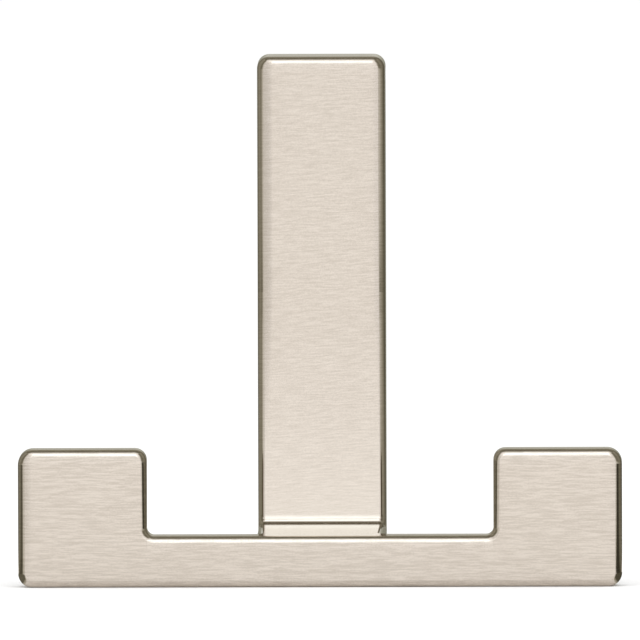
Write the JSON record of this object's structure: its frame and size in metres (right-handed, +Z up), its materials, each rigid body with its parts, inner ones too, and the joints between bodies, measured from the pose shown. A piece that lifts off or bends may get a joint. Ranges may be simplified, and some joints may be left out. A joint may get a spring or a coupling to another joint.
{
  "type": "double robe hook",
  "caption": "Wall-mounted double robe hook: tall flat back plate, a short arm at its foot and a flat crossbar with upturned square ends, on a hidden bracket.",
  "frame": {"origin": "the middle of the two wall screw holes, on the wall plane", "axes": "+Z up, +Y into the wall, so the front faces -Y, and +X to the right seen from the front; the crossbar lies along X"},
  "size_m": [0.1, 0.05, 0.0865],
  "materials": {
    "brushed_nickel": "satin nickel plate over a zinc casting, brushed across",
    "zinc_plated_steel": "bright zinc plate on pressed steel strip",
    "blackened_steel": "black oxide on hardened steel"
  },
  "bodies": {
    "root": {"hook_body": "brushed_nickel", "wall_bracket": "zinc_plated_steel", "set_screw": "blackened_steel"}
  },
  "joints": []
}
